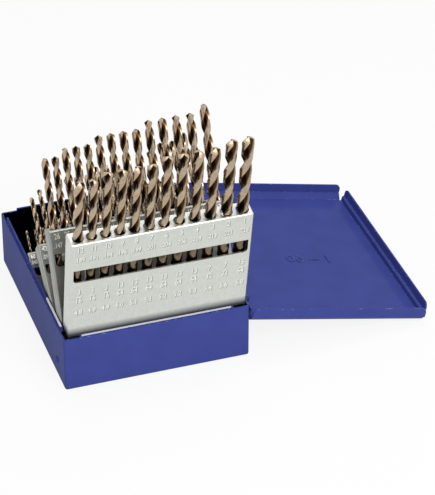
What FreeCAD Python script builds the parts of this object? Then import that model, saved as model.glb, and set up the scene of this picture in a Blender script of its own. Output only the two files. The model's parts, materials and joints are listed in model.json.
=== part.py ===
import FreeCAD, Part
import os
import Sketcher
from FreeCAD import Vector

# Folding sixty-piece drill index: a pressed steel case, a hinged lid and four folded-sheet racks
# that stand up in a fan and fold flat on top of each other. Millimetres, +Z up. The origin is the
# centre of the case's bottom face, +X points to the hinge side and -Y to the front.

doc = FreeCAD.newDocument("DrillIndex")
dims = doc.addObject("Spreadsheet::Sheet", "dims")

# alias, value, what it is
CASE_SIZES = [
    ("caseWidth", 92, "case over its side walls"),
    ("caseDepth", 116.5, "case over its front and back walls"),
    ("caseTall", 29, "case floor to the shoulder of its walls"),
    ("sheetThick", 0.8, "steel sheet of case and lid"),
    ("bendRadius", 1.3, "outer radius of the case and lid bends"),
    ("lipTall", 2, "lip above the shoulder"),
    ("lipSet", 1, "how far the lip is set in from the wall"),
    ("lipEndGap", 8, "bare wall between a lip and a corner"),
    ("hingeDrop", 1.4, "hinge axis below the shoulder"),
    ("hingeEndGap", 7.5, "bare wall between the hinge and a corner"),
    ("pinRadius", 1, "hinge wire"),
    ("pinPlay", 0.05, "hinge wire in the lid's knuckles, radial; the case's knuckles grip it"),
    ("pinProud", 0.9, "hinge wire past the last knuckle"),
    ("knuckleGap", 0.4, "between neighbouring knuckles"),
    ("lidTall", 8, "lid's outer face to the free edge of its flanges"),
    ("lidGap", 1, "lid flange clear of the case wall"),
    ("joggleRise", 4, "edge of the lid's far flange to its joggle"),
    ("joggleSlope", 0.8, "height of the joggle"),
    ("bevelWide", 3.2, "bevel of the lid's side flanges, measured across the lid"),
    ("bevelTall", 3.2, "height of the bevel"),
    ("notchWidth", 1.2, "open lid corner, measured along each flange"),
    ("flangeRound", 2.6, "rounded end of a lid flange"),
]
RACK_SIZES = [
    ("rackGap", 1.4, "side flange of every rack clear of the case wall"),
    ("rackSheet", 0.8, "zinc-plated sheet of the racks"),
    ("rackBend", 0.9, "outer radius of the rack bends"),
    ("windowInset", 1.6, "rack end to the end of its window"),
    ("windowRound", 2, "lower corners of a window"),
    ("guideShort", 0.7, "rear edge of a rack to the rear edge of its guide shelf"),
    ("holePlay", 0.2, "drill bit in its hole, radial"),
    ("earRadius", 2.6, "rounded lower end of a rack's ear"),
    ("rivetRadius", 1.1, "rivet that a rack turns on"),
    ("rivetPlay", 0.05, "rivet in the rack's ear, radial"),
    ("rivetHead", 1.9, "head and collar of a rivet"),
    ("headThick", 0.6, "head of a rivet"),
    ("earGap", 0.3, "rivet's collar and head clear of the ear"),
    ("domeRadius", 2.2, "domed outer head of the third rack's rivets"),
    ("domeProud", 0.7, "domed head beyond the wall"),
    ("tipAngle", 118, "point of a drill bit"),
]
# One dictionary per rack, front to back. pivotY is measured from the front wall's outer face.
RACKS = {
    "rack_a": dict(pivotY=5.5, pivotZ=26.3, lean=-11, deep=8.6, shift=-0.5, shelf=10.3, tall=54.2,
                   apron=3.7, earTop=5.8, windowDrop=16.3, windowTall=7.7, endGap=4.4, crowd=0.1,
                   first=12, last=1),
    "rack_b": dict(pivotY=11, pivotZ=18, lean=23, deep=7.4, shift=0, shelf=14.3, tall=42.2,
                   apron=0, earTop=12, windowDrop=11.5, windowTall=6.2, endGap=3.9, crowd=0.2,
                   first=26, last=13),
    "rack_c": dict(pivotY=14, pivotZ=9, lean=48, deep=6, shift=-1.5, shelf=23.2, tall=32.8,
                   apron=0, earTop=16, windowDrop=10.5, windowTall=5, endGap=3.2, crowd=0.18,
                   first=42, last=27),
    "rack_d": dict(pivotY=53, pivotZ=4.5, lean=42, deep=4.8, shift=0, shelf=4, tall=30,
                   apron=0, earTop=3, windowDrop=8, windowTall=4, endGap=2.6, crowd=0.15,
                   first=60, last=43),
}
# Number-size twist drills: diameters of 1 to 60 in ten-thousandths of an inch.
DIAMETERS = [
    2280, 2210, 2130, 2090, 2055, 2040, 2010, 1990, 1960, 1935, 1910, 1890, 1850, 1820, 1800,
    1770, 1730, 1695, 1660, 1610, 1590, 1570, 1540, 1520, 1495, 1470, 1440, 1405, 1360, 1285,
    1200, 1160, 1130, 1110, 1100, 1065, 1040, 1015, 995, 980, 960, 935, 890, 860, 820, 810, 785,
    760, 730, 700, 670, 635, 595, 550, 520, 465, 430, 420, 410, 400,
]
# Jobber lengths in inches: (last number of the band, length).
LENGTHS = [
    (2, 3.875), (6, 3.75), (10, 3.625), (13, 3.5), (17, 3.375), (21, 3.25), (24, 3.125),
    (27, 3), (29, 2.875), (32, 2.75), (35, 2.625), (38, 2.5), (41, 2.375), (43, 2.25),
    (46, 2.125), (51, 2), (55, 1.875), (57, 1.75), (60, 1.625),
]
INCH = 25.4
TOUCH = 0.01
BIT_SIDES = 12


def bitLength(number):
    return next(inches for last, inches in LENGTHS if number <= last) * INCH


def fillSheet():
    rows = CASE_SIZES + RACK_SIZES
    for name, sizes in RACKS.items():
        rows += [(name.replace("rack_", "rack") + key[0].upper() + key[1:], value, f"{name} {key}")
                 for key, value in sizes.items() if key not in ("first", "last")]
    for number, parts in enumerate(DIAMETERS, 1):
        rows.append((f"bitDia{number}x", parts / 10000 * INCH, f"diameter of bit {number}"))
        rows.append((f"bitLong{number}x", bitLength(number), f"length of bit {number}"))
    for row, (alias, value, note) in enumerate(rows, 1):
        dims.set(f"A{row}", note)
        dims.set(f"B{row}", str(round(value, 4)))
        dims.setAlias(f"B{row}", alias)
    doc.recompute()


def size(expression):
    """The value of an expression in the sheet's aliases."""
    return float(dims.evalExpression(expression))


def bind(item, **expressions):
    for prop, expression in expressions.items():
        item.setExpression(prop, expression)
    return item


def place(item, x="0", y="0", z="0", axis="0; 0; 1", angle="0"):
    item.setExpression(
        "Placement", f"placement(vector({x}; {y}; {z}); rotation(vector({axis}); {angle}))")
    return item


def box(x, y, z):
    """A block between two sheet expressions on each axis."""
    item = doc.addObject("Part::Box", "block")
    bind(item, Length=f"{x[1]} - ({x[0]})", Width=f"{y[1]} - ({y[0]})", Height=f"{z[1]} - ({z[0]})")
    return place(item, x[0], y[0], z[0])


def cylinder(radius, height, x="0", y="0", z="0", axis="0; 0; 1", angle="0"):
    """A cylinder that starts at a point and runs along +Z, turned about an axis."""
    item = doc.addObject("Part::Cylinder", "round")
    bind(item, Radius=radius, Height=height)
    return place(item, x, y, z, axis, angle)


def rod(radius, height, x, y, z):
    """A rod along +Z with BIT_SIDES flat sides, for what repeats sixty times."""
    item = doc.addObject("Part::Prism", "rod")
    item.Polygon = BIT_SIDES
    bind(item, Circumradius=radius, Height=height)
    return place(item, x, y, z)


def point(radius, height, x, y, z):
    """A pointed end for a rod."""
    ring = doc.addObject("Part::RegularPolygon", "ring")
    ring.Polygon = BIT_SIDES
    bind(ring, Circumradius=radius)
    place(ring, x, y, z)
    apex = place(doc.addObject("Part::Vertex", "apex"), x, y, f"{z} + {height}")
    item = doc.addObject("Part::Loft", "point")
    item.Sections = [ring, apex]
    item.Solid = True
    item.Ruled = True
    return item


def crossBar(radius, length, y="0", z="0"):
    """A cylinder along X, centred on x = 0."""
    return cylinder(radius, length, f"-({length}) / 2", y, z, "0; 1; 0", "90")


def longBar(radius, start, length, x="0", z="0"):
    """A cylinder along +Y from a start."""
    return cylinder(radius, length, x, start, z, "1; 0; 0", "-90")


def fuse(items, name="joined"):
    item = doc.addObject("Part::MultiFuse", name)
    item.Shapes = items
    return item


def cut(base, tools, name="cut"):
    item = doc.addObject("Part::Cut", name)
    item.Base = base
    item.Tool = compound(tools)
    return item


def compound(items, name="group"):
    item = doc.addObject("Part::Compound", name)
    item.Links = items
    return item


def mirrored(item, normal, name="mirror"):
    twin = doc.addObject("Part::Mirroring", name)
    twin.Source = item
    twin.Normal = normal
    return twin


def outline(body, role, corners):
    """A closed sketch of straight lines; each corner is a pair of sheet expressions."""
    sketch = body.newObject("Sketcher::SketchObject", "outline")
    plane = next(item for item in body.Origin.OriginFeatures if item.Role == role)
    sketch.AttachmentSupport = [(plane, "")]
    sketch.MapMode = "FlatFace"
    points = [Vector(size(x), size(y), 0) for x, y in corners]
    for start, end in zip(points, points[1:] + points[:1]):
        sketch.addGeometry(Part.LineSegment(start, end))
    for index, (x, y) in enumerate(corners):
        following = (index + 1) % len(corners)
        sketch.addConstraint(Sketcher.Constraint("Coincident", index, 2, following, 1))
        for kind, expression in (("DistanceX", x), ("DistanceY", y)):
            rule = Sketcher.Constraint(kind, -1, 1, index, 1, size(expression))
            sketch.setExpression(f"Constraints[{sketch.addConstraint(rule)}]", expression)
    return sketch


def pad(role, corners, length, midplane=True):
    """An outline pushed out on both sides of its plane, or on one."""
    body = doc.addObject("PartDesign::Body", "body")
    feature = body.newObject("PartDesign::Pad", "pad")
    feature.Profile = outline(body, role, corners)
    feature.Midplane = midplane
    bind(feature, Length=length)
    body.Tip = feature
    return body


def turned(role, corners):
    """An outline turned about the sketch's horizontal axis."""
    body = doc.addObject("PartDesign::Body", "body")
    feature = body.newObject("PartDesign::Revolution", "turn")
    feature.Profile = outline(body, role, corners)
    feature.ReferenceAxis = (feature.Profile[0], ["H_Axis"])
    feature.Angle = 360
    body.Tip = feature
    return body


def roundEdges(body, radius, chosen):
    doc.recompute()
    base = body.Tip
    edges = [f"Edge{index}" for index, edge in enumerate(base.Shape.Edges, 1) if chosen(edge)]
    feature = body.newObject("PartDesign::Fillet", "bend")
    feature.Base = (base, edges)
    bind(feature, Radius=radius)
    body.Tip = feature


def spans(edge, x=None, y=None, z=None):
    """True for an edge that stays at each coordinate that is given."""
    box = edge.BoundBox
    ends = {"x": (box.XMin, box.XMax), "y": (box.YMin, box.YMax), "z": (box.ZMin, box.ZMax)}
    for axis, value in {"x": x, "y": y, "z": z}.items():
        if value is not None and max(abs(end - value) for end in ends[axis]) > TOUCH:
            return False
    return True


# ---------------------------------------------------------------------------------- case

HALF_WIDTH = "dims.caseWidth / 2"
HALF_DEPTH = "dims.caseDepth / 2"
KNUCKLE_COUNT = 5
EYE_BORE = "(dims.pinRadius + dims.pinPlay)"
EYE_RADIUS = f"({EYE_BORE} + dims.sheetThick)"
EYE_CLEAR = f"({EYE_RADIUS} + dims.knuckleGap)"
HINGE_X = f"({HALF_WIDTH} + {EYE_BORE})"
HINGE_Z = "(dims.caseTall - dims.hingeDrop)"
HINGE_START = f"(dims.hingeEndGap - {HALF_DEPTH})"
HINGE_LENGTH = "(dims.caseDepth - 2 * dims.hingeEndGap)"
KNUCKLE_LENGTH = f"(({HINGE_LENGTH} - {KNUCKLE_COUNT - 1} * dims.knuckleGap) / {KNUCKLE_COUNT})"


def knuckleStart(index):
    return f"({HINGE_START} + {index} * ({KNUCKLE_LENGTH} + dims.knuckleGap))"


def knuckleEnd(index):
    return f"({knuckleStart(index)} + {KNUCKLE_LENGTH})"


def lip(wall, role, sign, length):
    """The set-in lip above one wall, drawn as its section and run along the wall."""
    def inward(distance):
        return f"{sign} * ({wall} - ({distance}))"
    sheet, top = "dims.sheetThick", "dims.caseTall"
    section = [
        (inward(f"{sheet} / 2"), f"{top} - 1.8 * {sheet}"),
        (inward(sheet), f"{top} - 1.8 * {sheet}"),
        (inward(f"dims.lipSet + {sheet}"), f"{top} - 0.8 * {sheet}"),
        (inward(f"dims.lipSet + {sheet}"), f"{top} + dims.lipTall"),
        (inward("dims.lipSet"), f"{top} + dims.lipTall"),
        (inward("dims.lipSet"), top),
        (inward(f"{sheet} / 2"), top),
    ]
    return pad(role, section, length)


def caseTray():
    corners = [(f"{x} * {HALF_WIDTH}", f"{y} * {HALF_DEPTH}")
               for x, y in ((-1, -1), (1, -1), (1, 1), (-1, 1))]
    shell = pad("XY_Plane", corners, "dims.caseTall", midplane=False)
    top = size("dims.caseTall")
    roundEdges(shell, "dims.bendRadius", lambda edge: not spans(edge, z=top))
    inside = box((f"dims.sheetThick - {HALF_WIDTH}", f"{HALF_WIDTH} - dims.sheetThick"),
                 (f"dims.sheetThick - {HALF_DEPTH}", f"{HALF_DEPTH} - dims.sheetThick"),
                 ("dims.sheetThick", "dims.caseTall + 1"))
    tray = cut(shell, [inside])

    # The hinged wall stops at the hinge axis, and lower where a knuckle of the lid turns.
    wall = (f"{HALF_WIDTH} - dims.sheetThick - {TOUCH}", f"{HALF_WIDTH} + {TOUCH}")
    notches = [box(wall, (HINGE_START, f"{HINGE_START} + {HINGE_LENGTH}"),
                   (HINGE_Z, "dims.caseTall + 1"))]
    for index in range(1, KNUCKLE_COUNT, 2):
        notches.append(box(wall, (f"{knuckleStart(index)} - dims.knuckleGap",
                                  f"{knuckleEnd(index)} + dims.knuckleGap"),
                           (f"{HINGE_Z} - {EYE_CLEAR}", f"{HINGE_Z} + {TOUCH}")))
    tray = cut(tray, notches)

    eyes = [longBar(EYE_RADIUS, knuckleStart(index), KNUCKLE_LENGTH, HINGE_X, HINGE_Z)
            for index in range(0, KNUCKLE_COUNT, 2)]
    lips = [lip(HALF_DEPTH, "YZ_Plane", -1, "dims.caseWidth - 2 * dims.lipEndGap"),
            lip(HALF_DEPTH, "YZ_Plane", 1, "dims.caseWidth - 2 * dims.lipEndGap"),
            lip(HALF_WIDTH, "XZ_Plane", -1, "dims.caseDepth - 2 * dims.lipEndGap")]
    bores = [longBar("dims.pinRadius", f"{HINGE_START} - 1", f"{HINGE_LENGTH} + 2",
                     HINGE_X, HINGE_Z)]
    for name in RACKS:
        bores.append(crossBar("dims.rivetRadius", "dims.caseWidth + 1", pivotY(name), pivotZ(name)))
    return cut(fuse([tray] + eyes + lips), bores, "case_tray")


def hingePin():
    return longBar("dims.pinRadius", f"{HINGE_START} - dims.pinProud",
                   f"{HINGE_LENGTH} + 2 * dims.pinProud", HINGE_X, HINGE_Z)


# ----------------------------------------------------------------------------------- lid
# Drawn about the hinge axis as it lies open: +X to the free edge, +Z to the flanges' free edges.

LID_FAR = f"({HINGE_X} + {HALF_WIDTH} + dims.lidGap + dims.sheetThick - dims.lipSet)"
LID_RIM = f"({HALF_DEPTH} + dims.lidGap + dims.sheetThick)"
LID_SIDE = f"({LID_RIM} - dims.bevelWide)"


def farFlange():
    """The joggled flange of the free edge."""
    def outward(distance):
        return f"{LID_FAR} + {distance}"
    sheet, step = "dims.sheetThick", "dims.lipSet"
    low, high = "-dims.lidTall", "-(dims.joggleRise + dims.joggleSlope)"
    section = [
        (outward("0"), low), (outward("0"), high), (outward(step), "-dims.joggleRise"),
        (outward(step), "0"), (outward(f"{step} - {sheet}"), "0"),
        (outward(f"{step} - {sheet}"), "-dims.joggleRise"), (outward(f"-{sheet}"), high),
        (outward(f"-{sheet}"), f"{low} + {sheet}"), (outward(f"-2 * {sheet}"), f"{low} + {sheet}"),
        (outward(f"-2 * {sheet}"), low),
    ]
    return lidFlange(section, "XZ_Plane", f"2 * ({LID_SIDE} - dims.notchWidth)",
                     lambda edge: spans(edge, x=size(LID_FAR), z=size(low)))


def sideFlange(sign):
    """A flange with a bevel below its upright rim; the inner corners are the sheet's mitres."""
    def outward(face, distance):
        return f"{sign} * ({face} - ({distance}))"
    sheet, low = "dims.sheetThick", "-dims.lidTall"
    high = f"({low} + dims.bevelTall)"
    rimMitre = f"{sheet} * tan(atan(dims.bevelWide / dims.bevelTall) / 2)"
    panelMitre = f"{sheet} * tan(atan(dims.bevelTall / dims.bevelWide) / 2)"
    section = [
        (outward(LID_SIDE, "0"), low), (outward(LID_RIM, "0"), high), (outward(LID_RIM, "0"), "0"),
        (outward(LID_RIM, sheet), "0"), (outward(LID_RIM, sheet), f"{high} + {rimMitre}"),
        (outward(LID_SIDE, panelMitre), f"{low} + {sheet}"),
        (outward(LID_SIDE, f"2 * {sheet}"), f"{low} + {sheet}"),
        (outward(LID_SIDE, f"2 * {sheet}"), low),
    ]
    edge, rim = size(outward(LID_SIDE, "0")), size(outward(LID_RIM, "0"))
    flange = lidFlange(section, "YZ_Plane", f"{LID_FAR} - dims.notchWidth - {EYE_BORE}",
                       lambda line: spans(line, y=edge, z=size(low)) or spans(line, y=rim, z=size(high)))
    return place(flange, f"({LID_FAR} - dims.notchWidth + {EYE_BORE}) / 2")


def lidFlange(section, role, length, outerBends):
    """A flange run along the panel's edge, its bends rounded and its ends rounded off."""
    flange = pad(role, section, length)
    roundEdges(flange, "dims.bendRadius", outerBends)
    thick = size("dims.sheetThick")
    roundEdges(flange, "dims.flangeRound",
               lambda edge: spans(edge, z=0) and abs(edge.Length - thick) < TOUCH)
    return flange


def lidCover():
    sheet = "dims.sheetThick"
    panel = box((EYE_BORE, f"{LID_FAR} - {sheet}"),
                (f"{sheet} - {LID_SIDE}", f"{LID_SIDE} - {sheet}"),
                ("-dims.lidTall", f"{sheet} - dims.lidTall"))
    hingeSheet = (EYE_BORE, EYE_RADIUS)
    back = [box(hingeSheet, (f"dims.notchWidth - {LID_SIDE}", f"{LID_SIDE} - dims.notchWidth"),
                ("-dims.lidTall", f"-{EYE_CLEAR}"))]
    for index in range(1, KNUCKLE_COUNT, 2):
        back.append(box(hingeSheet, (knuckleStart(index), knuckleEnd(index)), ("-dims.lidTall", "0")))
        back.append(longBar(EYE_RADIUS, knuckleStart(index), KNUCKLE_LENGTH))
    bore = longBar(EYE_BORE, f"{HINGE_START} - 1", f"{HINGE_LENGTH} + 2")
    flanges = [farFlange(), sideFlange(-1), sideFlange(1)]
    lid = cut(fuse([panel] + flanges + back), [bore], "lid_cover")
    return place(lid, HINGE_X, "0", HINGE_Z, "0; 1; 0", LID_DROOP)


# The open lid hangs below level until its free corner reaches the table.
LID_DROOP = (f"(asin({HINGE_Z} / sqrt({LID_FAR} ^ 2 + dims.lidTall ^ 2))"
             f" - atan(dims.lidTall / {LID_FAR}))")


# --------------------------------------------------------------------------------- racks
# Drawn about the pivot as if upright: +Y from the face to the open rear, +Z along the bits.

RACK_WIDTH = "(dims.caseWidth - 2 * dims.sheetThick - 2 * dims.rackGap)"


def rackSize(name, key):
    return f"dims.{name.replace('rack_', 'rack')}{key[0].upper()}{key[1:]}"


def pivotY(name):
    return f"({rackSize(name, 'pivotY')} - {HALF_DEPTH})"


def pivotZ(name):
    return rackSize(name, "pivotZ")


def onRack(item, name):
    """Moves a finished sub-part from the upright rack to the rack as it leans in the case."""
    return place(item, "0", pivotY(name), pivotZ(name), "-1; 0; 0", rackSize(name, "lean"))


def numbers(name):
    return range(RACKS[name]["first"], RACKS[name]["last"] - 1, -1)


def bitX(name, number):
    """Bits stand closer together at the thin end of a rack."""
    count = len(numbers(name)) - 1
    part = f"{(RACKS[name]['first'] - number)} / {count}"
    span = f"({RACK_WIDTH} - 2 * {rackSize(name, 'endGap')})"
    crowd = rackSize(name, "crowd")
    return f"({span} * ({part} - {crowd} * {part} * (1 - {part}) - 0.5))"


def rackFrame(name):
    sheet, half = "dims.rackSheet", f"{RACK_WIDTH} / 2"
    shift, deep = rackSize(name, "shift"), rackSize(name, "deep")
    face, rear = f"({shift} - {deep} / 2)", f"({shift} + {deep} / 2)"
    shelf = rackSize(name, "shelf")
    top = f"({shelf} + {rackSize(name, 'tall')})"
    earTop = rackSize(name, "earTop")
    profile = [("-dims.earRadius", "0"), ("dims.earRadius", "0"), (rear, earTop), (rear, top),
               (face, top), (face, earTop)]
    block = pad("YZ_Plane", profile, RACK_WIDTH)
    front, end, high = size(face), size(half), size(top)
    roundEdges(block, "dims.rackBend", lambda edge: any((
        spans(edge, y=front, z=high), spans(edge, x=end, z=high), spans(edge, x=-end, z=high),
        spans(edge, x=end, y=front), spans(edge, x=-end, y=front))))
    ears = crossBar("dims.earRadius", RACK_WIDTH)

    inside = (f"{sheet} - {half}", f"{half} - {sheet}")
    past = "dims.earRadius"
    behind = (f"{face} + {sheet}", f"{rear} + {past}")
    guide = f"({top} - {rackSize(name, 'windowDrop')})"
    apronLow = f"({shelf} - {sheet} - {rackSize(name, 'apron')})"
    hollows = [
        box(inside, behind, (f"{guide} + {sheet}", f"{top} - {sheet}")),
        box(inside, behind, (shelf, guide)),
        box(inside, (f"{rear} - dims.guideShort", f"{rear} + {past}"),
            (guide, f"{guide} + {sheet}")),
        box(inside, behind, (f"-{past} - 1", f"{shelf} - {sheet}")),
        box(inside, (f"{face} - {past}", f"{rear} + {past}"), (f"-{past} - 1", apronLow)),
    ]
    low = f"({guide} - {rackSize(name, 'windowTall')})"
    side = f"({half} - dims.windowInset)"
    window = pad("XZ_Plane", [(f"-{side}", low), (side, low), (side, guide), (f"-{side}", guide)],
                 f"2 * {sheet}")
    roundEdges(window, "dims.windowRound",
               lambda edge: any(spans(edge, x=sign * size(side), z=size(low)) for sign in (-1, 1)))
    place(window, y=face)
    holes = [rod(f"(dims.bitDia{number}x / 2 + dims.holePlay) / cos(180 / {BIT_SIDES})",
                 f"{top} - {guide} + 1", bitX(name, number), shift, f"{guide} - 0.5")
             for number in numbers(name)]
    pivot = crossBar("dims.rivetRadius + dims.rivetPlay", f"{RACK_WIDTH} + 1")
    return onRack(cut(fuse([block, ears]), hollows + [window, pivot] + holes, name + "_frame"), name)


def rackPivots(name):
    """Two rivets: outer head flush or domed, collar inside the wall, head inside the ear."""
    wall, inner = HALF_WIDTH, f"({HALF_WIDTH} - dims.sheetThick)"
    collar = f"({RACK_WIDTH} / 2 + dims.earGap)"
    head = f"({RACK_WIDTH} / 2 - dims.rackSheet - dims.earGap)"
    shank, wide = "dims.rivetRadius", "dims.rivetHead"
    profile = [(f"{head} - dims.headThick", "0"), (f"{head} - dims.headThick", wide), (head, wide),
               (head, shank), (collar, shank), (collar, wide), (inner, wide), (inner, shank)]
    if name == "rack_c":
        profile += [(wall, shank), (wall, "dims.domeRadius"),
                    (f"{wall} + 0.6 * dims.domeProud", "0.8 * dims.domeRadius"),
                    (f"{wall} + dims.domeProud", "0.35 * dims.domeRadius"),
                    (f"{wall} + dims.domeProud", "0")]
    else:
        profile += [(wall, shank), (wall, "0")]
    rivet = place(turned("XY_Plane", profile), "0", pivotY(name), pivotZ(name))
    return compound([rivet, mirrored(rivet, Vector(1, 0, 0))], name + "_pivots")


def drillBit(name, number):
    radius, length = f"dims.bitDia{number}x / 2", f"dims.bitLong{number}x"
    cone = f"({radius} / tan(dims.tipAngle / 2))"
    x, y, z = bitX(name, number), rackSize(name, "shift"), rackSize(name, "shelf")
    body = rod(radius, f"{length} - {cone}", x, y, z)
    tip = point(radius, cone, x, y, f"({z} + {length} - {cone})")
    return onRack(fuse([body, tip], f"bit_{number:02d}"), name)


def bitGroup(name, group):
    label = f"bits_{min(group):02d}_to_{max(group):02d}"
    return compound([drillBit(name, number) for number in group], label)


# ------------------------------------------------------------------------------ assembly

fillSheet()
nodes = {"case_tray": caseTray(), "hinge_pin": hingePin(), "lid_cover": lidCover()}
for rack in RACKS:
    nodes[f"{rack}_frame"] = rackFrame(rack)
    nodes[f"{rack}_pivots"] = rackPivots(rack)
for rack in ("rack_a", "rack_b"):
    for number in numbers(rack):
        nodes[f"bit_{number:02d}"] = drillBit(rack, number)
for rack, share in (("rack_c", 4), ("rack_d", 3)):
    kept = list(numbers(rack))
    for start in range(0, len(kept), share):
        group = bitGroup(rack, kept[start:start + share])
        nodes[group.Name] = group
doc.recompute()

for item in doc.Objects:
    if "Invalid" in item.State or "Error" in item.State:
        raise RuntimeError(f"{item.Name} ({item.Label}) failed: {item.State}")
os.makedirs("parts", exist_ok=True)
for label, item in nodes.items():
    if item.Shape.isNull() or not item.Shape.isValid() or not item.Shape.Solids:
        raise RuntimeError(f"{label} has no sound shape")
    item.Label = label
    item.Shape.exportStep(f"parts/{label}.step")
print(len(nodes), "sub-parts,", sum(len(item.Shape.Solids) for item in nodes.values()), "solids")
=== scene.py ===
import json
import math
import random

import bpy
from mathutils import Matrix, Vector

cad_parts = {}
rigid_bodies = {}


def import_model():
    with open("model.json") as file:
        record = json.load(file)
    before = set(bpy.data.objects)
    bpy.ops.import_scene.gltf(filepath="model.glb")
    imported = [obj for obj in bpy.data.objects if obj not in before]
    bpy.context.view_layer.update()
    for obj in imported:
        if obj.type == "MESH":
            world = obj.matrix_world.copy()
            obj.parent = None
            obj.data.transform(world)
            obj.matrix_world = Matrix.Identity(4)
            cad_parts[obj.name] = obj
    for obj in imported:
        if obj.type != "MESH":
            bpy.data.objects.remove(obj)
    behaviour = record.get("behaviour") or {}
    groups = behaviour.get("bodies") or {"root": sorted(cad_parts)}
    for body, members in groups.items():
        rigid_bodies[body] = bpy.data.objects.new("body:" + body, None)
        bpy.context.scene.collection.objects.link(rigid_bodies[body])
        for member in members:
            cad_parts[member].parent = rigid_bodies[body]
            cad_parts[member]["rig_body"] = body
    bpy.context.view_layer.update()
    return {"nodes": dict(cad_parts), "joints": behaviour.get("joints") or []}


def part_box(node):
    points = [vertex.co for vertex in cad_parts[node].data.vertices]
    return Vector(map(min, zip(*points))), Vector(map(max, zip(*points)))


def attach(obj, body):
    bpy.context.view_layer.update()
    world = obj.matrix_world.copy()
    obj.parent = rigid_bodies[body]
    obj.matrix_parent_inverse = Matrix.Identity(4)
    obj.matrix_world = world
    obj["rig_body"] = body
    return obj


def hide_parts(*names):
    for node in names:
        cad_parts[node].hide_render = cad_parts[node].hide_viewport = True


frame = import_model()
mm = 0.001
inch = 0.0254
nodes = frame["nodes"]
joints = {joint["name"]: joint for joint in frame["joints"]}
rackNames = ["rack_a", "rack_b", "rack_c", "rack_d"]
print("frame loaded:", len(nodes), "nodes")


# sRGB hex to the linear colour that a node takes
def linear(hexColour):
    parts = [int(hexColour[i:i + 2], 16) / 255 for i in (1, 3, 5)]
    return [c / 12.92 if c <= 0.04045 else ((c + 0.055) / 1.055) ** 2.4 for c in parts] + [1.0]


# inputs are a dictionary by socket, or a row that fills the sockets in order
def addNode(tree, kind, inputs=(), **settings):
    node = tree.nodes.new(kind)
    for name, value in settings.items():
        setattr(node, name, value)
    for key, value in inputs.items() if isinstance(inputs, dict) else enumerate(inputs):
        if isinstance(value, bpy.types.NodeSocket):
            tree.links.new(value, node.inputs[key])
        else:
            node.inputs[key].default_value = value
    return node


def newMaterial(name):
    material = bpy.data.materials.new(name)
    material.use_nodes = True
    material.node_tree.nodes.clear()
    return material, material.node_tree


# an object's evaluated shape as a plain mesh; the object itself goes
def plainMesh(shape):
    bpy.context.scene.collection.objects.link(shape)
    mesh = bpy.data.meshes.new_from_object(shape.evaluated_get(bpy.context.evaluated_depsgraph_get()))
    bpy.data.objects.remove(shape)
    return mesh


def addPiece(name, mesh, body, material):
    piece = bpy.data.objects.new(name, mesh)
    bpy.context.scene.collection.objects.link(piece)
    piece.data.materials.clear()
    piece.data.materials.append(material)
    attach(piece, body)
    return piece


# turns an upright rack, drawn about its pivot, to the rack as it leans
def rackPlace(name):
    joint = joints[name + "_fold"]
    lean = math.radians(90 - joint["range_deg"][1])
    return Matrix.Translation(Vector(joint["pos_m"])) @ Matrix.Rotation(-lean, 4, "X")


def uprightPoints(name, nodeName):
    back = rackPlace(name).inverted()
    return [back @ vertex.co for vertex in nodes[nodeName].data.vertices]


# lowest and highest corner of some points
def boxOf(points):
    return [Vector([pick(p[axis] for p in points) for axis in range(3)]) for pick in (min, max)]


def rackBox(name):
    return boxOf(uprightPoints(name, name + "_frame"))


# one (foot, diameter, length) for each drill on an upright rack, left to right
def drillSpots(name):
    spots = []
    for nodeName in nodes:
        if not nodeName.startswith("bit") or nodes[nodeName]["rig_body"] != name:
            continue
        # a node of several drills is numbered first to last, and is split at its widest gaps
        numbers = [int(part) for part in nodeName.split("_") if part.isdigit()]
        points = sorted(uprightPoints(name, nodeName), key=lambda p: p.x)
        widest = sorted(range(1, len(points)), key=lambda i: points[i - 1].x - points[i].x)
        cuts = [0] + sorted(widest[:numbers[-1] - numbers[0]]) + [len(points)]
        for start, end in zip(cuts, cuts[1:]):
            low, high = boxOf(points[start:end])
            foot = Vector(((low.x + high.x) / 2, (low.y + high.y) / 2, low.z))
            spots.append((foot, high.x - low.x, high.z - low.z))
    return sorted(spots, key=lambda spot: spot[0].x)


noiseSpan = (0.3, 0.7)        # where nearly all of a noise's values lie

paintLook = {
    "outside": "#3d4892",
    # painted shade: the colour that the case's inside is painted
    "inside": "#020208",
    # painted highlight: a near-white colour for the top edges of the lips
    "lip": "#f4f4fa",
    "chip": "#b4b3ba",
    "saturation": 0.98,
    "cloud": 14 * mm,
    "cloudTint": (0.94, 1.06),
    "roughness": (0.41, 0.5),
    "topCoat": 0.14,          # share of the clear skin that gives the gloss
    "topCoatRoughness": 0.16,
    "peelSize": 1.1 * mm,     # orange peel of a powder coat, peak to peak
    "peelDepth": 0.012 * mm,
    "chipSize": 2.2 * mm,
    "chipSpan": (0.56, 0.62),
    "edgeRound": 0.35 * mm,
    "edgeSpan": (0.985, 0.9),     # cosine of the turn at which wear starts, and is full
}

# parts of the case painted with a shade or a highlight, between two ends in x, y and z
caseLow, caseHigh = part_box("case_tray")
rim = caseHigh.z
coatZones = {
    "walls": {
        "colour": "inside",   # painted shade: the inside walls are painted near black
        "x": (caseLow.x + 0.75 * mm, 45.25 * mm),
        "y": (caseLow.y + 0.75 * mm, caseHigh.y - 0.75 * mm),
        "z": (0.7 * mm, rim - 2.1 * mm),
    },
    # painted shade on the lip's inner face as well
    "innerLip": {
        "colour": "inside",
        "x": (caseLow.x + 2.4 * mm, 45 * mm),
        "y": (caseLow.y + 1.75 * mm, caseHigh.y - 1.75 * mm),
        "z": (rim - 2.2 * mm, rim - 0.3 * mm),
    },
    "frontLip": {
        "colour": "lip",      # painted highlight: a near-white line along the front lip's top edge
        "x": (-37 * mm, 37 * mm),
        "y": (caseLow.y, caseLow.y + 2 * mm),
        "z": (rim - 1.9 * mm, rim + 1 * mm),
    },
    # painted highlight along the left wall's lip as well
    "leftLip": {
        "colour": "lip",
        "x": (caseLow.x, caseLow.x + 3 * mm),
        "y": (-49 * mm, -24 * mm),
        "z": (rim - 0.8 * mm, rim + 1 * mm),
    },
}
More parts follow.
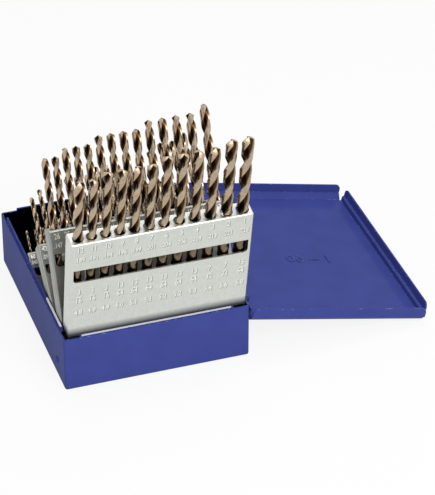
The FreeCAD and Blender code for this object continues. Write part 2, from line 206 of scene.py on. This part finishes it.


# semi-gloss powder coat on steel: an even skin with a slight orange peel, chipped on its edges, with painted
# shade inside the case and a painted highlight along its lips
def powderCoat():
    material, tree = newMaterial("powderCoatedSteel")
    look = paintLook
    spot = addNode(tree, "ShaderNodeTexCoord").outputs["Object"]
    cloud = addNode(tree, "ShaderNodeTexNoise", {"Vector": spot, "Scale": 1 / look["cloud"], "Detail": 2.0})
    tint = addNode(tree, "ShaderNodeMapRange", (cloud.outputs[0], *noiseSpan, *look["cloudTint"]))
    coat = addNode(tree, "ShaderNodeHueSaturation", {
        "Color": linear(look["outside"]), "Saturation": look["saturation"], "Value": tint.outputs[0],
    }).outputs[0]
    axes = addNode(tree, "ShaderNodeSeparateXYZ", (spot,)).outputs
    # painted shade and painted highlight, laid on by place in the case
    for zone in coatZones.values():
        mask = 1.0
        for axis, letter in enumerate("xyz"):
            for operation, end in zip(("GREATER_THAN", "LESS_THAN"), zone[letter]):
                within = addNode(tree, "ShaderNodeMath", (axes[axis], end), operation=operation)
                both = addNode(tree, "ShaderNodeMath", (mask, within.outputs[0]), operation="MULTIPLY")
                mask = both.outputs[0]
        coat = addNode(tree, "ShaderNodeMix", {
            "Factor": mask, "A": coat, "B": linear(look[zone["colour"]]),
        }, data_type="RGBA").outputs["Result"]

    # wear: where the surface turns sharply and the noise is high, the bright metal shows
    bent = addNode(tree, "ShaderNodeBevel", {"Radius": look["edgeRound"]}, samples=4)
    flat = addNode(tree, "ShaderNodeNewGeometry")
    facing = addNode(tree, "ShaderNodeVectorMath", (bent.outputs[0], flat.outputs["Normal"]),
                     operation="DOT_PRODUCT")
    grit = addNode(tree, "ShaderNodeTexNoise", {
        "Vector": spot, "Scale": 1 / look["chipSize"], "Detail": 4.0, "Roughness": 0.7,
    })
    edge = addNode(tree, "ShaderNodeMapRange", (facing.outputs["Value"], *look["edgeSpan"], 0.0, 1.0))
    worn = addNode(tree, "ShaderNodeMapRange", (grit.outputs[0], *look["chipSpan"], 0.0, 1.0))
    chip = addNode(tree, "ShaderNodeMath", (edge.outputs[0], worn.outputs[0]), operation="MULTIPLY")
    colour = addNode(tree, "ShaderNodeMix", {
        "Factor": chip.outputs[0], "A": coat, "B": linear(look["chip"]),
    }, data_type="RGBA")

    peel = addNode(tree, "ShaderNodeTexNoise", {"Vector": spot, "Scale": 1 / look["peelSize"], "Detail": 1.0})
    bump = addNode(tree, "ShaderNodeBump", {
        "Height": peel.outputs[0], "Distance": look["peelDepth"], "Strength": 1.0,
    })
    gloss = addNode(tree, "ShaderNodeMapRange", (cloud.outputs[0], *noiseSpan, *look["roughness"]))
    shader = addNode(tree, "ShaderNodeBsdfPrincipled", {
        "Base Color": colour.outputs["Result"], "Roughness": gloss.outputs[0], "Normal": bump.outputs[0],
        "IOR": 1.5, "Specular IOR Level": 0.0, "Coat Weight": look["topCoat"],
        "Coat Roughness": look["topCoatRoughness"],
    })
    addNode(tree, "ShaderNodeOutputMaterial", {"Surface": shader.outputs[0]})
    return material


zincLook = {
    "bright": "#d9dbd5",
    "dull": "#bdbfb8",
    "mottle": 1.6 * mm,       # patches of a passivated zinc plate
    "mottleSpan": (0.35, 0.68),
    "mottleShare": 0.28,
    # painted shade: the colour that recesses darken to, and how far
    "paintedRecessShade": "#453f35",
    "paintedRecessShadeShare": 0.92,
    "recess": 14 * mm,        # how far apart two walls stand before the painted shade between them fades
    "recessSpan": (0.3, 0.82),
    "foot": "#15182c",        # painted shade and painted reflection: a dark band where the front rack dips into the case
    "footShadeShare": 0.94,
    "footBand": (32 * mm, 36.5 * mm),     # heights at which the painted shade starts to fade, and is gone
    "footBack": -50 * mm,     # no painted shade behind this y
    "rolling": 0.35 * mm,     # rolling lines of the sheet, drawn coarser than real so that they show
    "rollingStretch": 0.03,
    "rollingDepth": 0.006 * mm,
    "roughness": (0.32, 0.48),
}


# bright zinc plate on rolled sheet: a pale satin metal with cloudy patches and faint rolling lines, with
# painted shade in recesses and at the front rack's foot; shade scales the brightness, for copies with painted
# shade or painted highlight
def zincPlate(name="zincPlatedSheet", shade=1.0):
    material, tree = newMaterial(name)
    look = zincLook
    spot = addNode(tree, "ShaderNodeTexCoord").outputs["Object"]
    patches = addNode(tree, "ShaderNodeTexNoise", {
        "Vector": spot, "Scale": 1 / look["mottle"], "Detail": 3.0, "Roughness": 0.6,
    })
    blend = addNode(tree, "ShaderNodeMapRange",
                    (patches.outputs[0], *look["mottleSpan"], 0.0, look["mottleShare"]))
    # painted shade: darker where the ambient occlusion finds walls close by
    openness = addNode(tree, "ShaderNodeAmbientOcclusion", {"Distance": look["recess"]}, samples=8)
    hidden = addNode(tree, "ShaderNodeMapRange",
                     (openness.outputs["AO"], *look["recessSpan"], look["paintedRecessShadeShare"], 0.0))
    axes = addNode(tree, "ShaderNodeSeparateXYZ", (spot,)).outputs
    # painted shade and reflection: a dark band low on the front rack
    low = addNode(tree, "ShaderNodeMapRange", (axes[2], *look["footBand"], look["footShadeShare"], 0.0))
    front = addNode(tree, "ShaderNodeMath", (axes[1], look["footBack"]), operation="LESS_THAN")
    foot = addNode(tree, "ShaderNodeMath", (low.outputs[0], front.outputs[0]), operation="MULTIPLY")
    colour = linear(look["bright"])
    for share, layer in ((blend, "dull"), (hidden, "paintedRecessShade"), (foot, "foot")):
        colour = addNode(tree, "ShaderNodeMix", {
            "Factor": share.outputs[0], "A": colour, "B": linear(look[layer]),
        }, data_type="RGBA").outputs["Result"]
    shaded = addNode(tree, "ShaderNodeHueSaturation", {"Color": colour, "Value": shade})

    stretched = addNode(tree, "ShaderNodeMapping", {
        "Vector": spot, "Scale": (look["rollingStretch"], 1.0, 1.0),
    })
    lines = addNode(tree, "ShaderNodeTexNoise", {
        "Vector": stretched.outputs[0], "Scale": 1 / look["rolling"], "Detail": 2.0,
    })
    bump = addNode(tree, "ShaderNodeBump", {
        "Height": lines.outputs[0], "Distance": look["rollingDepth"], "Strength": 0.6,
    })
    gloss = addNode(tree, "ShaderNodeMapRange", (patches.outputs[0], *noiseSpan, *look["roughness"]))
    shader = addNode(tree, "ShaderNodeBsdfPrincipled", {
        "Base Color": shaded.outputs[0], "Roughness": gloss.outputs[0], "Normal": bump.outputs[0],
        "Metallic": 1.0,
    })
    addNode(tree, "ShaderNodeOutputMaterial", {"Surface": shader.outputs[0]})
    return material


steelLook = {
    "land": "#bba78f",
    "valley": "#432e19",
    "valleySpan": (0.04, 0.36),   # depth of a flute, as a share of the radius
    "cloud": 2.5 * mm,
    "cloudTint": (0.82, 1.12),
    "drillShade": "#1d130a",        # painted shade low down between the drills
    "drillShadeShare": 0.8,
    "drillShadeInRack": 0.6,        # how much painted shade lies on the length inside the rack
    "recess": 5 * mm,
    "recessSpan": (0.2, 0.75),
    "grind": 0.16 * mm,       # grinding lines along the flute, drawn coarse enough to show
    "grindStretch": 0.08,
    "grindDepth": 0.004 * mm,
    "roughness": (0.17, 0.34),
}


# ground high-speed steel with a straw-brown temper colour: bright lands and darker brown flutes, with painted
# shade between the drills and on their length inside the rack
def highSpeedSteel():
    material, tree = newMaterial("groundHighSpeedSteel")
    look = steelLook
    depth = addNode(tree, "ShaderNodeAttribute", attribute_name="fluteDepth")
    along = addNode(tree, "ShaderNodeAttribute", attribute_name="grindPlace")
    inRack = addNode(tree, "ShaderNodeAttribute", attribute_name="insideRack")
    deep = addNode(tree, "ShaderNodeMapRange", (depth.outputs["Fac"], *look["valleySpan"], 0.0, 1.0))
    # painted shade: darker where the drills crowd together, and on their length inside the rack
    openness = addNode(tree, "ShaderNodeAmbientOcclusion", {"Distance": look["recess"]}, samples=8)
    crowded = addNode(tree, "ShaderNodeMapRange",
                      (openness.outputs["AO"], *look["recessSpan"], look["drillShadeShare"], 0.0))
    sunk = addNode(tree, "ShaderNodeMath", (inRack.outputs["Fac"], look["drillShadeInRack"]),
                   operation="MULTIPLY")
    drillShade = addNode(tree, "ShaderNodeMath", (crowded.outputs[0], sunk.outputs[0]), operation="MAXIMUM")
    colour = linear(look["land"])
    for share, layer in ((deep, "valley"), (drillShade, "drillShade")):
        colour = addNode(tree, "ShaderNodeMix", {
            "Factor": share.outputs[0], "A": colour, "B": linear(look[layer]),
        }, data_type="RGBA").outputs["Result"]
    patches = addNode(tree, "ShaderNodeTexNoise", {
        "Vector": along.outputs["Vector"], "Scale": 1 / look["cloud"], "Detail": 2.0,
    })
    cloudy = addNode(tree, "ShaderNodeMapRange", (patches.outputs[0], *noiseSpan, *look["cloudTint"]))
    shaded = addNode(tree, "ShaderNodeHueSaturation", {"Color": colour, "Value": cloudy.outputs[0]})

    stretched = addNode(tree, "ShaderNodeMapping", {
        "Vector": along.outputs["Vector"], "Scale": (1.0, look["grindStretch"], 1.0),
    })
    lines = addNode(tree, "ShaderNodeTexNoise", {
        "Vector": stretched.outputs[0], "Scale": 1 / look["grind"], "Detail": 2.0,
    })
    bump = addNode(tree, "ShaderNodeBump", {
        "Height": lines.outputs[0], "Distance": look["grindDepth"], "Strength": 0.5,
    })
    gloss = addNode(tree, "ShaderNodeMapRange", (lines.outputs[0], *noiseSpan, *look["roughness"]))
    shader = addNode(tree, "ShaderNodeBsdfPrincipled", {
        "Base Color": shaded.outputs[0], "Roughness": gloss.outputs[0], "Normal": bump.outputs[0],
        "Metallic": 1.0,
    })
    addNode(tree, "ShaderNodeOutputMaterial", {"Surface": shader.outputs[0]})
    return material


wireLook = {
    "bright": "#b9bbbd",
    "dull": "#8d8f92",
    "draw": 0.2 * mm,         # drawing lines, coarser than real so that they show
    "drawStretch": 0.02,
    "drawDepth": 0.005 * mm,
    "roughness": 0.3,
}


# drawn steel wire: bright, with fine lines along its length
def drawnWire():
    material, tree = newMaterial("drawnSteelWire")
    look = wireLook
    spot = addNode(tree, "ShaderNodeTexCoord").outputs["Object"]
    stretched = addNode(tree, "ShaderNodeMapping", {
        "Vector": spot, "Scale": (1.0, look["drawStretch"], 1.0),
    })
    lines = addNode(tree, "ShaderNodeTexNoise", {
        "Vector": stretched.outputs[0], "Scale": 1 / look["draw"],
    })
    tone = addNode(tree, "ShaderNodeMapRange", (lines.outputs[0], *noiseSpan, 0.0, 1.0))
    colour = addNode(tree, "ShaderNodeMix", {
        "Factor": tone.outputs[0], "A": linear(look["bright"]), "B": linear(look["dull"]),
    }, data_type="RGBA")
    bump = addNode(tree, "ShaderNodeBump", {"Height": lines.outputs[0], "Distance": look["drawDepth"]})
    shader = addNode(tree, "ShaderNodeBsdfPrincipled", {
        "Base Color": colour.outputs["Result"], "Roughness": look["roughness"],
        "Normal": bump.outputs[0], "Metallic": 1.0,
    })
    addNode(tree, "ShaderNodeOutputMaterial", {"Surface": shader.outputs[0]})
    return material


# brightness of the zinc copies: the rear racks' zinc darkened for painted shade, the figures' zinc brightened
# for a painted highlight and darkened for a painted shadow
zincShades = {"rear": 0.48, "figureHighlight": 1.35, "figureShadow": 0.42}

paint = powderCoat()
zinc = zincPlate()
# painted shade: the rear racks' frames get the same zinc darkened, for the shade and dark reflections among
# the drills
rearZinc = zincPlate("zincSheetPaintedShade", zincShades["rear"])
# painted highlight and painted shadow: brightened and darkened copies of the zinc for the raised figures
figureHighlightZinc = zincPlate("zincFiguresPaintedHighlight", zincShades["figureHighlight"])
figureShadowZinc = zincPlate("zincFiguresPaintedShadow", zincShades["figureShadow"])
drillSteel = highSpeedSteel()
wire = drawnWire()
finishes = {name + "_frame": rearZinc for name in rackNames}
finishes.update({"rack_a_frame": zinc, "hinge_pin": wire})
for nodeName, piece in nodes.items():
    piece.data.materials.clear()
    piece.data.materials.append(drillSteel if nodeName.startswith("bit") else finishes.get(nodeName, paint))
print("finishes made")


drillSizes = {
    "seed": 12,               # for how each drill is turned in its hole
    "helixAngle": 29,         # degrees between a flute's edge and the drill's axis
    "pointAngle": 118,
    "web": 0.2,               # core left between the flutes, as a share of the radius
    "fluteHalfAngle": 50,
    "fluteBowl": 1.9,         # power of the flute's curve: 1 is a V, and more is rounder
    "landClearance": 0.955,   # land behind the margin, as a share of the radius
    "marginAngle": 10,
    "marginStart": 0.98,      # as a share of the flute's half angle
    "fluteShare": 0.861,      # on jobber drills the flutes take this share of the length, less 18.1 mm
    "fluteLess": 18.1 * mm,
    "fluteLeast": 0.4,        # and on short drills at least this share
    "shankLayers": 0.08,      # share of the layers spent on the plain shank
    "runOut": 1.6,            # diameters over which a flute fades into the shank
    "shadeStopsBelow": 1.5 * mm,   # the painted shade inside the rack ends this far below the rack's top
    "weld": 0.002 * mm,
    "crease": 0.6,            # radians of turn past which an edge stays crisp
    "grindShift": 0.01,       # moves the grinding pattern from drill to drill
    "sides": {"rack_a": 44, "rack_b": 40, "rack_c": 28, "rack_d": 20},
    "layers": {"rack_a": 72, "rack_b": 72, "rack_c": 72, "rack_d": 80},
}


def twistDrillTree():
    tree = bpy.data.node_groups.new("twistDrills", "GeometryNodeTree")
    tree.interface.new_socket("Drills", in_out="OUTPUT", socket_type="NodeSocketGeometry")
    sockets = {
        "Geometry": ("Feet",),
        "Int": ("Sides", "Layers"),
        "Float": ("Helix Angle", "Point Angle", "Web", "Flute Half Angle", "Land Clearance",
                  "Margin Angle", "Shank Layers", "Run Out", "Rack Height"),
        "Material": ("Steel",),
    }
    for kind, names in sockets.items():
        for name in names:
            tree.interface.new_socket(name, in_out="INPUT", socket_type="NodeSocket" + kind)
    given = addNode(tree, "NodeGroupInput").outputs

    # a unit cylinder on every foot, each vertex keeping its unit place and its drill's foot
    rod = addNode(tree, "GeometryNodeMeshCylinder", {
        "Vertices": given["Sides"], "Side Segments": given["Layers"], "Radius": 1.0, "Depth": 1.0,
    }, fill_type="TRIANGLE_FAN")
    place = addNode(tree, "GeometryNodeInputPosition").outputs[0]
    marked = {}
    for name, shape in (("unitPlace", rod.outputs["Mesh"]), ("foot", given["Feet"])):
        marked[name] = addNode(tree, "GeometryNodeStoreNamedAttribute", {
            "Geometry": shape, "Name": name, "Value": place,
        }, data_type="FLOAT_VECTOR", domain="POINT").outputs[0]
    spread = addNode(tree, "GeometryNodeInstanceOnPoints", {
        "Points": marked["foot"], "Instance": marked["unitPlace"],
    })
    rods = addNode(tree, "GeometryNodeRealizeInstances", (spread.outputs[0],))

    found = {name: given[name] for name in sockets["Float"]}
    reads = {"unitPlace": "FLOAT_VECTOR", "foot": "FLOAT_VECTOR", "diameter": "FLOAT",
             "length": "FLOAT", "fluted": "FLOAT", "turn": "FLOAT"}
    for name, kind in reads.items():
        found[name] = addNode(tree, "GeometryNodeInputNamedAttribute", {"Name": name},
                              data_type=kind).outputs[0]
    unit = addNode(tree, "ShaderNodeSeparateXYZ", (found["unitPlace"],)).outputs
    found.update(zip("xyz", unit))

    # each step is its name, what it does, and the numbers or earlier names that it works on
    steps = [
        ("radius", "MULTIPLY", "diameter", 0.5),
        ("shank", "SUBTRACT", "length", "fluted"),
        ("around", "ARCTAN2", "y", "x"),
        ("xSquare", "MULTIPLY", "x", "x"),
        ("ySquare", "MULTIPLY", "y", "y"),
        ("squares", "ADD", "xSquare", "ySquare"),
        ("outward", "SQRT", "squares"),
        ("up", "ADD", "z", 0.5),
        ("alongShank", "RAMP", "up", 0.0, "Shank Layers", 0.0, "shank"),
        ("alongFlutes", "RAMP", "up", "Shank Layers", 1.0, 0.0, "fluted"),
        ("height", "ADD", "alongShank", "alongFlutes"),
        # section with two flutes: a bowl down to the web, a margin at full radius, a land behind it
        ("halfTurn", "FLOORED_MODULO", "around", math.pi),
        ("fromMiddle", "SUBTRACT", "halfTurn", math.pi / 2),
        ("bowlPlace", "DIVIDE", "fromMiddle", "Flute Half Angle"),
        ("bowlSide", "ABSOLUTE", "bowlPlace"),
        ("bowlShare", "MINIMUM", "bowlSide", 1.0),
        ("bowl", "POWER", "bowlShare", drillSizes["fluteBowl"]),
        ("marginStart", "MULTIPLY", "Flute Half Angle", drillSizes["marginStart"]),
        ("marginEnd", "ADD", "Flute Half Angle", "Margin Angle"),
        ("pastStart", "GREATER_THAN", "fromMiddle", "marginStart"),
        ("beforeEnd", "LESS_THAN", "fromMiddle", "marginEnd"),
        ("onMargin", "MULTIPLY", "pastStart", "beforeEnd"),
        ("land", "RAMP", "onMargin", 0.0, 1.0, "Land Clearance", 1.0),
        ("section", "RAMP", "bowl", 0.0, 1.0, "Web", "land"),
        # the flutes fade in above the shank
        ("runOut", "MULTIPLY", "Run Out", "diameter"),
        ("aboveShank", "SUBTRACT", "height", "shank"),
        ("fade", "SOFT_RAMP", "aboveShank", 0.0, "runOut", 0.0, 1.0),
        ("reach", "RAMP", "fade", 0.0, 1.0, 1.0, "section"),
        ("share", "MULTIPLY", "reach", "outward"),
        ("fromAxis", "MULTIPLY", "share", "radius"),
        # the point is a cone
        ("halfPoint", "MULTIPLY", "Point Angle", 0.5),
        ("pointSlope", "TANGENT", "halfPoint"),
        ("cone", "DIVIDE", "fromAxis", "pointSlope"),
        ("top", "SUBTRACT", "length", "cone"),
        ("level", "MINIMUM", "height", "top"),
        # everything turns with height
        ("helixSlope", "TANGENT", "Helix Angle"),
        ("twist", "DIVIDE", "helixSlope", "radius"),
        ("turned", "ADD", "around", "turn"),
        ("twisted", "MULTIPLY", "level", "twist"),
        ("angle", "ADD", "turned", "twisted"),
        ("cosine", "COSINE", "angle"),
        ("sine", "SINE", "angle"),
        ("placeX", "MULTIPLY", "fromAxis", "cosine"),
        ("placeY", "MULTIPLY", "fromAxis", "sine"),
        # what the steel's finish reads
        ("fluteDepth", "SUBTRACT", 1.0, "reach"),
        # where the painted shade inside the rack lies
        ("insideRack", "LESS_THAN", "level", "Rack Height"),
        ("girth", "MULTIPLY", "around", "radius"),
        ("shift", "MULTIPLY", "turn", drillSizes["grindShift"]),
    ]
    ramps = {"RAMP": "LINEAR", "SOFT_RAMP": "SMOOTHSTEP"}
    for name, action, *values in steps:
        inputs = [found[value] if isinstance(value, str) else value for value in values]
        if action in ramps:
            step = addNode(tree, "ShaderNodeMapRange", inputs, interpolation_type=ramps[action])
        else:
            step = addNode(tree, "ShaderNodeMath", inputs, operation=action)
        found[name] = step.outputs[0]
    for name, parts in (("spot", ("placeX", "placeY", "level")), ("grindPlace", ("girth", "level", "shift"))):
        found[name] = addNode(tree, "ShaderNodeCombineXYZ", [found[part] for part in parts]).outputs[0]
    onFoot = addNode(tree, "ShaderNodeVectorMath", (found["spot"], found["foot"]), operation="ADD")
    edgeTurn = addNode(tree, "GeometryNodeInputMeshEdgeAngle").outputs[0]
    crisp = addNode(tree, "ShaderNodeMath", (edgeTurn, drillSizes["crease"]), operation="GREATER_THAN")

    # the rods pass through these one after another
    shape = rods.outputs[0]
    for name, kind in (("fluteDepth", "FLOAT"), ("grindPlace", "FLOAT_VECTOR"), ("insideRack", "FLOAT")):
        shape = addNode(tree, "GeometryNodeStoreNamedAttribute", {
            "Geometry": shape, "Name": name, "Value": found[name],
        }, data_type=kind, domain="POINT").outputs[0]
    chain = [
        ("GeometryNodeSetPosition", {"Position": onFoot.outputs[0]}, {}),
        ("GeometryNodeMergeByDistance", {"Distance": drillSizes["weld"]}, {}),
        ("GeometryNodeSetShadeSmooth", {"Shade Smooth": True}, {}),
        ("GeometryNodeSetShadeSmooth", {"Selection": crisp.outputs[0], "Shade Smooth": False},
         {"domain": "EDGE"}),
        ("GeometryNodeRealizeInstances", {}, {}),
        ("GeometryNodeSetMaterial", {"Material": given["Steel"]}, {}),
    ]
    for kind, inputs, settings in chain:
        shape = addNode(tree, kind, {"Geometry": shape, **inputs}, **settings).outputs[0]
    addNode(tree, "NodeGroupOutput", (shape,))
    return tree


def makeDrills(tree, name, chance):
    sizes = drillSizes
    spots = drillSpots(name)
    mesh = bpy.data.meshes.new(name + "Feet")
    mesh.from_pydata([foot for foot, _, _ in spots], [], [])
    values = {
        "diameter": [diameter for _, diameter, _ in spots],
        "length": [length for _, _, length in spots],
        "fluted": [max(sizes["fluteShare"] * length - sizes["fluteLess"], sizes["fluteLeast"] * length)
                   for _, _, length in spots],
        "turn": [chance.uniform(0, math.tau) for _ in spots],
    }
    for key, numbers in values.items():
        mesh.attributes.new(key, "FLOAT", "POINT").data.foreach_set("value", numbers)
    feet = bpy.data.objects.new(name + "Feet", mesh)
    modifier = feet.modifiers.new("drills", "NODES")
    modifier.node_group = tree
    wanted = {
        "Sides": sizes["sides"][name],
        "Layers": sizes["layers"][name],
        "Helix Angle": math.radians(sizes["helixAngle"]),
        "Point Angle": math.radians(sizes["pointAngle"]),
        "Web": sizes["web"],
        "Flute Half Angle": math.radians(sizes["fluteHalfAngle"]),
        "Land Clearance": sizes["landClearance"],
        "Margin Angle": math.radians(sizes["marginAngle"]),
        "Shank Layers": sizes["shankLayers"],
        "Run Out": sizes["runOut"],
        "Rack Height": rackBox(name)[1].z - min(foot.z for foot, _, _ in spots) - sizes["shadeStopsBelow"],
        "Steel": drillSteel,
    }
    for item in tree.interface.items_tree:
        if item.in_out == "INPUT" and item.name in wanted:
            modifier[item.identifier] = wanted[item.name]
    solid = plainMesh(feet)
    solid.transform(rackPlace(name))
    piece = addPiece(name.replace("rack_", "twist_drills_"), solid, name, drillSteel)
    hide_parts(*[node for node in nodes if node.startswith("bit") and nodes[node]["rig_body"] == name])
    print(piece.name, len(solid.polygons), "faces")


drillTree = twistDrillTree()
drillChance = random.Random(drillSizes["seed"])
for rackName in rackNames:
    makeDrills(drillTree, rackName, drillChance)


figureSizes = {
    "tall": {"rack_a": 3.3 * mm, "rack_b": 2.805 * mm, "rack_c": 2.475 * mm, "rack_d": 2.145 * mm},
    "leftNumber": {"rack_a": 12, "rack_b": 26, "rack_c": 42, "rack_d": 60},
    "proud": 0.06 * mm,
    "bold": 0.11 * mm,
    "shadow": 0.34 * mm,      # how far the painted shadow lies below and right of each figure
    "narrow": 0.72,           # a figure's width, as a share of the font's own
    "capital": 0.72,          # the plain font's capitals are this share of its size
    # rows, as distances below the rack's top edge
    "number": {"rack_a": 3.6 * mm, "rack_b": 3.2 * mm, "rack_c": 2.9 * mm, "rack_d": 2.4 * mm},
    "decimal": {"rack_a": 9.6 * mm, "rack_b": 7.6 * mm, "rack_c": 6.9 * mm, "rack_d": 5.4 * mm},
    "fraction": 33 * mm,
    "metric": 43.5 * mm,
    # shares of a figure's height
    "decimalTall": 0.85,
    "barTall": 1.2,
    "barDrop": 0.15,
    "fractionStep": 0.8,      # from the middle of a fraction to each of its numbers
}

lidFigureSizes = {
    "words": "1 – 60",
    "tall": 6.5 * mm,
    "wide": 1.1,
    "proud": 0.4 * mm,
    "place": (52.5 * mm, -3 * mm),    # out from the hinge, and along it
    "faceUp": 0.9,            # the lid's floor is its largest face whose normal rises more than this
}


def textMesh(words, tall, proud, narrow, bold=0.0):
    curve = bpy.data.curves.new("figures", "FONT")
    curve.body = words
    curve.align_x = "CENTER"
    curve.align_y = "CENTER"
    curve.size = tall / figureSizes["capital"]
    curve.extrude = proud
    curve.offset = bold
    curve.resolution_u = 3
    mesh = plainMesh(bpy.data.objects.new("figures", curve))
    mesh.transform(Matrix.Diagonal((narrow, 1, 1, 1)))
    return mesh


def joinMeshes(name, meshes):
    points, faces = [], []
    for mesh in meshes:
        start = len(points)
        points += [vertex.co.copy() for vertex in mesh.vertices]
        faces += [[start + index for index in face.vertices] for face in mesh.polygons]
    joined = bpy.data.meshes.new(name)
    joined.from_pydata(points, [], faces)
    return joined


# a drill's size in 64ths of an inch, in its lowest terms
def nearestFraction(inches):
    top, bottom = round(inches * 64), 64
    while top % 2 == 0 and top > 0:
        top, bottom = top // 2, bottom // 2
    return top, bottom


# the rows of figures at one drill: words, distance below the top edge, height
def figureRows(name, number, diameter):
    sizes = figureSizes
    tall = sizes["tall"][name]
    inches = diameter / inch
    rows = [(str(number), sizes["number"][name], tall),
            (f"{inches:.3f}"[1:], sizes["decimal"][name], tall * sizes["decimalTall"])]
    if name == "rack_a":
        top, bottom = nearestFraction(inches)
        step = sizes["fractionStep"] * tall
        rows += [(str(top), sizes["fraction"] - step, tall),
                 ("–", sizes["fraction"] + sizes["barDrop"] * tall, tall * sizes["barTall"]),
                 (str(bottom), sizes["fraction"] + step, tall),
                 (f"{diameter / mm:.1f}", sizes["metric"], tall)]
    return rows


# each figure is a raised plate in brightened zinc, a painted highlight, and, lower and to its right, a darker
# copy, a painted shadow
figureLayers = {
    "raised": {"shift": 0, "proud": figureSizes["proud"], "finish": figureHighlightZinc},
    "shaded": {"shift": figureSizes["shadow"], "proud": figureSizes["proud"] / 2, "finish": figureShadowZinc},
}


def stampRack(name):
    low, high = rackBox(name)
    meshes = {layer: [] for layer in figureLayers}
    for index, (foot, diameter, _) in enumerate(drillSpots(name)):
        for words, drop, tall in figureRows(name, figureSizes["leftNumber"][name] - index, diameter):
            for layer, look in figureLayers.items():
                mesh = textMesh(words, tall, look["proud"], figureSizes["narrow"], figureSizes["bold"])
                spot = (foot.x + look["shift"], low.y, high.z - drop - look["shift"])
                mesh.transform(Matrix.Translation(spot) @ Matrix.Rotation(math.pi / 2, 4, "X"))
                meshes[layer].append(mesh)
    for layer, look in figureLayers.items():
        joined = joinMeshes(f"{name}{layer}Figures", meshes[layer])
        joined.transform(rackPlace(name))
        addPiece(f"{layer}_figures_{name[-1]}", joined, name, look["finish"])


# the range of sizes, raised on the lid's outside, so that it reads backwards inside
def stampLid():
    sizes = lidFigureSizes
    upward = [face for face in nodes["lid_cover"].data.polygons if face.normal.z > sizes["faceUp"]]
    floor = max(upward, key=lambda face: face.area)
    droop = math.atan2(floor.normal.x, floor.normal.z)
    hinge = Vector(joints["lid_hinge"]["pos_m"])
    asItLies = Matrix.Translation(hinge) @ Matrix.Rotation(droop, 4, "Y")
    level = (asItLies.inverted() @ floor.center).z
    mesh = textMesh(sizes["words"], sizes["tall"], sizes["proud"], -sizes["wide"])
    mesh.flip_normals()       # the mirror has turned them inwards
    mesh.transform(Matrix.Translation((*sizes["place"], level)))
    mesh.transform(asItLies)
    addPiece("lid_range_figures", mesh, "lid", paint)


for rackName in rackNames:
    stampRack(rackName)
stampLid()
print("figures stamped")


stageLook = {
    "reach": 3.0,
    "floor": (0.9, 0.9, 0.9, 1),
    "white": (1, 1, 1, 1),
    "glow": 0.87,             # the rest of the floor's look is its shading, which keeps the shadow
    "ambient": 0.4,
}

lampSizes = {
    "key": {"place": (0.05, -0.9, 0.9), "target": (0, 0, 0.03), "size": 0.6, "power": 9},
    "top": {"place": (0.2, 0.2, 1.1), "target": (0, 0, 0), "size": 0.7, "power": 3},
}

viewSizes = {
    "azimuth": -18.54,
    "elevation": 33.61,
    "aimRight": 46.8 * mm,
    "aimUp": 29.3 * mm,
    "distance": 1.2972,
    "lens": 190.3,
    "clipStart": 0.05,
}


# 1 for the rays that show the background itself: to the camera, in a reflection and through glass
def backgroundRays(tree):
    path = addNode(tree, "ShaderNodeLightPath").outputs
    seen = path["Is Camera Ray"]
    for ray in ("Is Glossy Ray", "Is Transmission Ray"):
        seen = addNode(tree, "ShaderNodeMath", (seen, path[ray]), operation="MAXIMUM").outputs[0]
    return seen


def makeFloor():
    reach = stageLook["reach"]
    corners = [(-reach, -reach, 0), (reach, -reach, 0), (reach, reach, 0), (-reach, reach, 0)]
    mesh = bpy.data.meshes.new("floor")
    mesh.from_pydata(corners, [], [(0, 1, 2, 3)])
    floor = bpy.data.objects.new("floor", mesh)
    bpy.context.scene.collection.objects.link(floor)
    material, tree = newMaterial("whiteFloor")
    share = addNode(tree, "ShaderNodeMath", (backgroundRays(tree), stageLook["glow"]), operation="MULTIPLY")
    lit = addNode(tree, "ShaderNodeBsdfDiffuse", {"Color": stageLook["floor"]})
    glow = addNode(tree, "ShaderNodeEmission", {"Color": stageLook["white"], "Strength": 1.0})
    mixed = addNode(tree, "ShaderNodeMixShader", (share.outputs[0], lit.outputs[0], glow.outputs[0]))
    addNode(tree, "ShaderNodeOutputMaterial", {"Surface": mixed.outputs[0]})
    floor.data.materials.append(material)


def makeWorld():
    world = bpy.data.worlds.new("studio")
    bpy.context.scene.world = world
    world.use_nodes = True
    tree = world.node_tree
    tree.nodes.clear()
    strength = addNode(tree, "ShaderNodeMapRange",
                       (backgroundRays(tree), 0.0, 1.0, stageLook["ambient"], 1.0))
    sky = addNode(tree, "ShaderNodeBackground", {
        "Color": stageLook["white"], "Strength": strength.outputs[0],
    })
    addNode(tree, "ShaderNodeOutputWorld", {"Surface": sky.outputs[0]})


def addLamp(name, place, target, size, power):
    light = bpy.data.lights.new(name, "AREA")
    light.shape = "SQUARE"
    light.size = size
    light.energy = power
    lamp = bpy.data.objects.new(name, light)
    bpy.context.scene.collection.objects.link(lamp)
    lamp.location = place
    lamp.rotation_euler = (Vector(target) - Vector(place)).to_track_quat("-Z", "Y").to_euler()


def makeCamera():
    camera = bpy.data.cameras.new("camera")
    camera.lens = viewSizes["lens"]
    camera.clip_start = viewSizes["clipStart"]
    holder = bpy.data.objects.new("camera", camera)
    bpy.context.scene.collection.objects.link(holder)
    azimuth = math.radians(viewSizes["azimuth"])
    elevation = math.radians(viewSizes["elevation"])
    back = Vector((math.sin(azimuth) * math.cos(elevation), -math.cos(azimuth) * math.cos(elevation),
                   math.sin(elevation)))
    right = Vector((math.cos(azimuth), math.sin(azimuth), 0))
    up = back.cross(right)
    holder.rotation_euler = Matrix((right, up, back)).transposed().to_euler()
    holder.location = right * viewSizes["aimRight"] + up * viewSizes["aimUp"] + back * viewSizes["distance"]
    bpy.context.scene.camera = holder


makeFloor()
makeWorld()
for lampName, lampSize in lampSizes.items():
    addLamp(lampName, **lampSize)
makeCamera()
bpy.context.scene.view_settings.view_transform = "Standard"
print("stage set")
